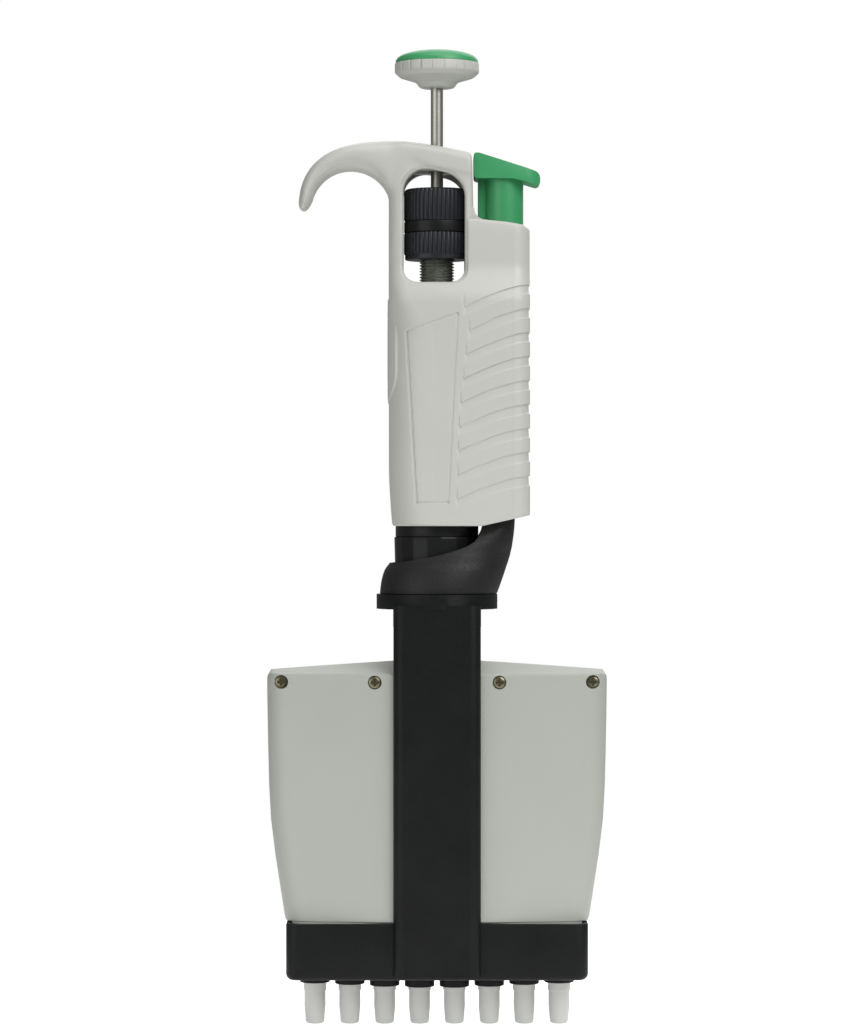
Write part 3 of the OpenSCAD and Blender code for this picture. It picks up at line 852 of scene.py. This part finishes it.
def makeScrewThread():
    t = thread
    rings = []
    for i in range(int((t["top"] - t["low"]) / t["pitch"] * t["turnSteps"])):
        z = t["low"] + i * t["pitch"] / t["turnSteps"]
        ring = []
        for j in range(t["sides"]):
            a = 2 * math.pi * j / t["sides"]
            phase = (i / t["turnSteps"] - j / t["sides"]) % 1
            ridge = 1 - abs(2 * phase - 1)
            # the flanks are cut off flat at the crest and at the root
            r = t["root"] + (t["crest"] - t["root"]) * min(1, max(0, ridge * 1.25 - 0.12))
            ring.append((r * cos(a), r * sin(a), z))
        rings.append(ring)
    bored = [onCylinder(ring, t["bore"], ring[0][2]) for ring in (rings[-1], rings[0])]
    screw = loft("volume_screw_thread", rings + bored + rings[:1], 60, capped=False)
    install(screw, "knob", screwSteel, "steel", "volume_screw")


makeKnob()
makeScrewThread()
print("knob made")


ejector = {"axis": handle["postX"], "post": 5.05, "low": 185.0, "half": 6.4, "rodHole": 1.76}


def bevelEdges(piece, width, segments, reach):
    # vertices nearer than reach are merged before the edges are rounded
    weld = piece.modifiers.new("weld", "WELD")
    weld.merge_threshold = reach
    bevel = piece.modifiers.new("softEdges", "BEVEL")
    bevel.width = width * mm
    bevel.segments = segments
    bevel.limit_method = "ANGLE"
    bevel.angle_limit = radians(40)
    return weld.name, bevel.name


def makeEjectorButton():
    e = ejector
    side = fillet([(9.5, 217.55, 0.9), (9.4, 224.2, 0.7), (10.9, 224.1), (26.75, 219.05, 1.9),
                   (26.4, 215.55, 0.9), (22.7, 216.85, 2.5), (19.5, 217.5), (14.0, 217.6)], 5)
    lid = slab("ejector_thumb_button", side, -e["half"], e["half"])
    plan = fillet([(9.0, -e["half"] - 0.1), (27.0, -e["half"] - 0.1, 5.4), (27.0, e["half"] + 0.1, 5.4),
                   (9.0, e["half"] + 0.1)], 10)
    combine(lid, slab("lidPlan", plan, 210, 230, plane="XY"), "INTERSECT")
    choose(lid)
    for step in bevelEdges(lid, 0.6, 4, 2 * mergeReach):
        bpy.ops.object.modifier_apply(modifier=step)
    outline = fillet([(0, e["low"]), (e["post"], e["low"], 0.3), (e["post"], 218.6), (0, 218.6)])
    post = turned("postBody", outline, centre=(e["axis"], 0), sides=80)
    combine(lid, post, "UNION")
    fin = slab("finBody", rectangle(10.55, 14, 207.1, 218.6), -1.8, 1.8, rim=0.3)
    combine(lid, fin, "UNION")
    combine(lid, turned("rodHole", rectangle(0, e["rodHole"], 184, 190), centre=(e["axis"], 0), sides=40))
    smoothAgain(lid)
    install(lid, "ejector", greenPlastic, "green_plastic", "ejector_button")


armSections = [  # level, left, right, half depth, mm
    (110.9, -14.75, 15.5, 14.6), (112.5, -14.6, 16.1, 14.6), (114.2, -14.35, 16.7, 14.4),
    (115.6, -14.0, 17.2, 14.1), (116.8, -13.6, 17.6, 13.8), (117.8, -13.0, 17.9, 13.4),
    (118.6, -12.3, 18.2, 12.9), (120.5, -12.0, 18.8, 12.3), (123.1, -11.8, 19.4, 11.2),
    (126.0, -8.0, 19.8, 9.6), (128.0, 2.0, 20.0, 8.0), (129.9, 9.5, 20.1, 6.9),
    (131.5, 12.6, 20.1, 6.2), (138.0, 12.8, 20.1, 6.1), (145.0, 12.8, 20.1, 6.1)]


def makeArm():
    rings = []
    levels = [110.9, 111.0, 111.3] + list(np.arange(112, 132, 0.5)) + [134.0, 138.0, 144.6, 145.0]
    table = np.array(armSections)
    for z in levels:
        left, right, depth = (np.interp(z, table[:, 0], table[:, k]) for k in (1, 2, 3))
        trim = 0.25 if z in (110.9, 145.0) else 0.0
        middle, half = (left + right) / 2, (right - left) / 2 - trim
        power = 2.0 + 1.6 * float(ease(120, 131, z))
        ring = []
        for i in range(112):
            a = 2 * math.pi * i / 112
            ring.append((middle + half * squared(cos(a), power),
                         (depth - trim) * squared(sin(a), power), z))
        rings.append(ring)
    arm = loft("ejector_swan_arm", rings, 40)
    edge = [(-20, 109), (21, 109), (21, 146), (12.0, 146), (11.8, 128.5), (11.4, 127.1), (10.7, 125.7),
            (9.5, 124.2), (7.5, 123), (5, 122.1), (2, 121.2), (-1, 120.5), (-4, 119.9), (-7, 119.4),
            (-12, 118.8), (-20, 118.3)]
    combine(arm, slab("sweepTool", edge, -20, 20), "INTERSECT")
    combine(arm, turned("armBore", rectangle(0, 11.5, 109, 128.2), sides=128))
    hole = rectangle(0, ejector["rodHole"], 137, 147)
    combine(arm, turned("armHole", hole, centre=(ejector["axis"], 0), sides=40))
    smoothAgain(arm, 40)
    install(arm, "ejector", armPlastic, "arm_black", "ejector_arm")


makeEjectorButton()
makeArm()
print("ejector made")


nut = {"radius": 11.05, "foot": 10.75, "sides": 18, "first": 6.4, "low": 112.5, "top": 125.6,
       "bore": 9.15, "neck": 6.3, "seat": 115.5}


def makeNut():
    n = nut
    rings = []
    bands = [(n["low"], n["foot"] - 0.5), (n["low"] + 0.3, n["foot"] - 0.2), (n["low"] + 1.5, n["foot"]),
             (n["top"] - 0.5, n["radius"]), (n["top"] - 0.12, n["radius"] - 0.12),
             (n["top"], n["radius"] - 0.5)]
    step = 2 * math.pi / n["sides"]
    for z, r in bands:
        ring = []
        for k in range(n["sides"]):
            start = radians(n["first"] - 90 + 360 * k / n["sides"])
            for part in (0.03, 0.25, 0.5, 0.75, 0.97):  # a flat with a softened corner each side
                a = start + part * step
                flat = cos(step / 2) / cos(a - start - step / 2)
                ring.append((r * flat * cos(a), r * flat * sin(a), z))
        rings.append(ring)
    for level, r in (("top", "bore"), ("seat", "bore"), ("seat", "neck"), ("low", "neck")):
        rings.append(onCylinder(rings[0], n[r], n[level]))
    collar = loft("coupling_nut_moulding", rings + rings[:1], 12, capped=False)
    install(collar, "handle", nutPlastic, "nut_black", "coupling_nut")


makeNut()
print("nut made")


shell = {"half": 43.7, "depth": 12.7, "arc": 205.5, "end": 6.0, "low": 27.1, "eave": 90.5, "wall": 1.6,
         "skirt": (37.2, 11.6, 14.5), "screws": (-39.9, -15.9, 15.9, 39.9), "screwLevel": 88.4}


def lensPlan(half, depth, arc, end, count=61, ends=9):
    # upper and lower arcs with round ends, anticlockwise from the left of the front
    endX = half - end
    drop = arc - math.sqrt(arc * arc - endX * endX) if arc else 0
    endY = depth - drop - end
    ring = []
    for x in np.linspace(-endX, endX, count):
        ring.append((x, (arc - math.sqrt(arc * arc - x * x) if arc else 0) - depth))
    for i in range(1, ends):
        a = radians(-90 + 90 * i / ends)
        ring.append((endX + end * cos(a), -endY + end * sin(a)))
    for y in np.linspace(-endY, endY, 5):
        ring.append((half, y))
    for i in range(1, ends):
        a = radians(90 * i / ends)
        ring.append((endX + end * cos(a), endY + end * sin(a)))
    return ring + [(-x, -y) for x, y in ring]


def ridgeHeight(x):
    return 94.1 - 2.75 * (abs(x) / 43.0) ** 1.15


def shellRings(inset=0.0):
    s = shell
    skirtX, skirtY, skirtLow = s["skirt"]
    low, drop = (skirtLow, 0.0) if not inset else (skirtLow - 1, inset)
    rings = [[(x, y, z) for x, y in lensPlan(skirtX - inset, skirtY - inset, 0, 4.0)]
             for z in (low, s["low"] + drop - (0.01 if inset else 0))]
    halves = ((s["low"] + drop, 38.75), (s["low"] + drop + 0.25, 39.0), (36, 40.35), (44, 41.6),
              (53, 42.7), (62, 43.2), (70, 43.4), (80, 43.6), (86, 43.68), (89.0, s["half"]),
              (89.7, 43.64), (90.15, 43.45))
    for z, half in halves:
        nick = 0.3 if z == s["low"] else 0.0  # rounds the outside's lower edge
        rings.append([(x, y, min(z, s["eave"] - inset - 0.3)) for x, y in
                      lensPlan(half - inset, s["depth"] - inset - nick, s["arc"], s["end"] - inset)])
    rim = lensPlan(43.2 - inset, s["depth"] - inset - 0.12, s["arc"], s["end"] - inset)
    eave = s["eave"] - inset
    for t in (0.0, 0.05, 0.12, 0.3, 0.5, 0.7, 0.85, 0.94, 1.0):
        # the roof rises from the eave to the ridge, and is flat at the ridge itself
        soft = min(1.0, 1.1 * t)
        rings.append([(x * (1 - 0.01 * t), y * (1 - t), eave + (ridgeHeight(x) - s["eave"]) * soft)
                      for x, y in rim])
    return rings


def screwSpots():
    spots = []
    for x in shell["screws"]:
        y = shell["arc"] - math.sqrt(shell["arc"] ** 2 - x * x) - shell["depth"]
        deeper = 0.75 if abs(x) > shell["half"] - shell["end"] else 0.0  # where the end rounds off
        spots.append((x, y + deeper))
    return spots


def makeShells():
    body = loft("shellBody", shellRings(), 30)
    combine(body, loft("shellSpace", shellRings(shell["wall"]), 30))
    combine(body, turned("stemTool", rectangle(0, 7.05, 85, 96)))
    recess = [(0, -3), (1.8, -3), (1.8, 0.5), (1.65, 0.7), (1.65, 6), (0, 6)]
    for x, y in screwSpots():
        tool = turned("recessTool", recess, sides=40)
        layDown(tool, x, y)
        combine(body, tool)
    installHalves(body, "module", shellPlastic, "shell_grey")


def layDown(piece, x, y):
    # turns an upright piece so that its top points into the shell, then moves it to its place
    z = shell["screwLevel"]
    openEdit(piece)
    bpy.ops.mesh.select_all(action="SELECT")
    mesh = bmesh.from_edit_mesh(piece.data)
    for vertex in mesh.verts:
        a, b, c = vertex.co
        vertex.co = (a + x * mm, c + y * mm, -b + z * mm)
    bmesh.update_edit_mesh(piece.data)
    bpy.ops.mesh.normals_make_consistent(inside=False)
    bpy.ops.object.mode_set(mode="OBJECT")


def makeScrews():
    made = []
    for x, y in screwSpots():
        head = turned("screw", fillet([(0, 0.2), (1.1, 0.22), (1.6, 0.45, 0.15), (1.6, 1.0), (1.2, 1.0),
                                       (1.2, 6), (0, 6)], 3), sides=40)
        for wide, tall in ((0.22, 0.95), (0.95, 0.22)):
            combine(head, slab("crossTool", rectangle(-wide, wide, -tall, tall), -0.5, 0.85, plane="XY"))
        layDown(head, x, y)
        made.append(head)
    screws = joined(made, "shell_screw_set")
    smoothAgain(screws, 30)
    install(screws, "module", screwNickel, "screw_nickel", "shell_screws")


makeShells()
makeScrews()
print("module made")


bar = {"half": 38.6, "depth": 13.2, "low": 12.4, "top": 26.9, "corner": 3.2, "wall": 1.2, "floor": 1.8,
       "edge": 1.7, "lip": 0.3, "collar": 3.85, "hole": 3.15, "steps": (2.9, 2.65, 2.2, 1.8), "pitch": 9}


def makeBar():
    b = bar

    def ring(inset, z, corner):
        half, depth = b["half"] - inset, b["depth"] - inset
        return [(x, y, z) for x, y in roundedPlan(-half, half, -depth, depth, corner, corner)]

    rings = []
    for turn in range(0, 91, 15):  # rounded lower edge
        a = radians(turn)
        inset = b["edge"] * (1 - sin(a))
        rings.append(ring(inset, b["low"] + b["edge"] * (1 - cos(a)), b["corner"] - inset))
    for turn in (0, 45, 90):  # softened lip
        a = radians(turn)
        inset = b["lip"] * (1 - cos(a))
        rings.append(ring(inset, b["top"] - b["lip"] * (1 - sin(a)), b["corner"] - inset))
    body = loft("ejector_bar_moulding", rings, 30)
    places = [(i - 3.5) * b["pitch"] for i in range(8)]
    joint = b["low"] + 1  # inside the floor
    for x in places:
        foot = b["low"] - b["steps"][int(abs(x) / b["pitch"])]
        collar = fillet([(0, foot), (b["collar"], foot, 0.25), (b["collar"], joint), (0, joint)])
        combine(body, turned("collarTool", collar, centre=(x, 0), sides=64), "UNION")
    inner = [ring(b["wall"], z, b["corner"] - b["wall"]) for z in (b["low"] + b["floor"], b["top"] + 1)]
    combine(body, loft("pocketTool", inner, 30))
    for x in places:
        combine(body, turned("holeTool", rectangle(0, b["hole"], 5, 20), centre=(x, 0), sides=64))
    smoothAgain(body, 30)
    install(body, "ejector_frame", columnPlastic, "ejector_black", "ejector_bar")


makeBar()
print("bar made")


eight = range(1, 9)
keptNodes = [  # material, width of the bevel in mm, nodes that keep their shape
    (columnPlastic, 0.4, ["ejector_column"]),
    (nutPlastic, 0.2, ["handle_neck"]),
    (nozzlePlastic, 0.12, [f"tip_cone_{i}" for i in eight]),
    (sealRubber, 0, ["swivel_seal", "piston_seals"]),
    (counterWhite, 0.1, ["counter_sleeve", "counter_ring_units", "counter_ring_tens",
                         "counter_ring_hundreds"]),
    (springSteel, 0, ["return_spring", "blowout_spring", "ejector_spring", "bar_springs",
                      "ejector_return_spring"]),
    (turnedBrass, 0.15, ["thread_nut"]),
    (turnedBrass, 0.1, ["stop_washer", "rod_collar"]),
    (rodSteel, 0.1, ["ejector_rod", "guide_rods"] + [f"piston_{i}" for i in eight]),
    (rodSteel, 0.2, ["module_stem", "drive_rod"]),
    (plateAluminium, 0.2, ["seal_plate", "cone_plate"]),
    (plateAluminium, 0.3, ["piston_crossbar"]),
]


def dressNodes():
    for material, edge, names in keptNodes:
        for name in names:
            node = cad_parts[name]
            node.data.materials.clear()
            node.data.materials.append(material)
            if edge:
                bevelEdges(node, edge, 3, mergeReach / 2)


dressNodes()
print("nodes dressed")


counters = {  # ring body, its middle level in mm, digit on show at rest
    "units": (166.75, 0), "tens": (172.75, 0), "hundreds": (178.75, 1),
}
figure = {"height": 5.2, "radius": 9.6, "proud": 0.05, "step": 36}


def makeFigures(body, level, shown):
    # ten numerals wrapped round a counter ring, read from the side of the window
    made = []
    for digit in range(10):
        deselectAll()
        bpy.ops.object.text_add()
        text = bpy.context.object
        text.data.body = str(digit)
        text.data.size = figure["height"]
        text.data.align_x = "CENTER"
        text.data.align_y = "CENTER"
        text.data.extrude = figure["proud"] / 2
        text.data.resolution_u = 4
        bpy.ops.object.convert(target="MESH")
        made.append(bpy.context.object)
        start = radians(180 - figure["step"] * (digit - shown))
        for vertex in made[-1].data.vertices:
            across, up, out = vertex.co
            r = figure["radius"] + figure["proud"] / 2 + out
            a = start + across / figure["radius"]
            vertex.co = (r * cos(a) * mm, r * sin(a) * mm, (level + up) * mm)
    numerals = joined(made, "numerals_" + body)
    openEdit(numerals)
    closeEdit(numerals)
    install(numerals, body, digitInk, "knob_black")


for body, (level, shown) in counters.items():
    makeFigures(body, level, shown)
print("numerals made")
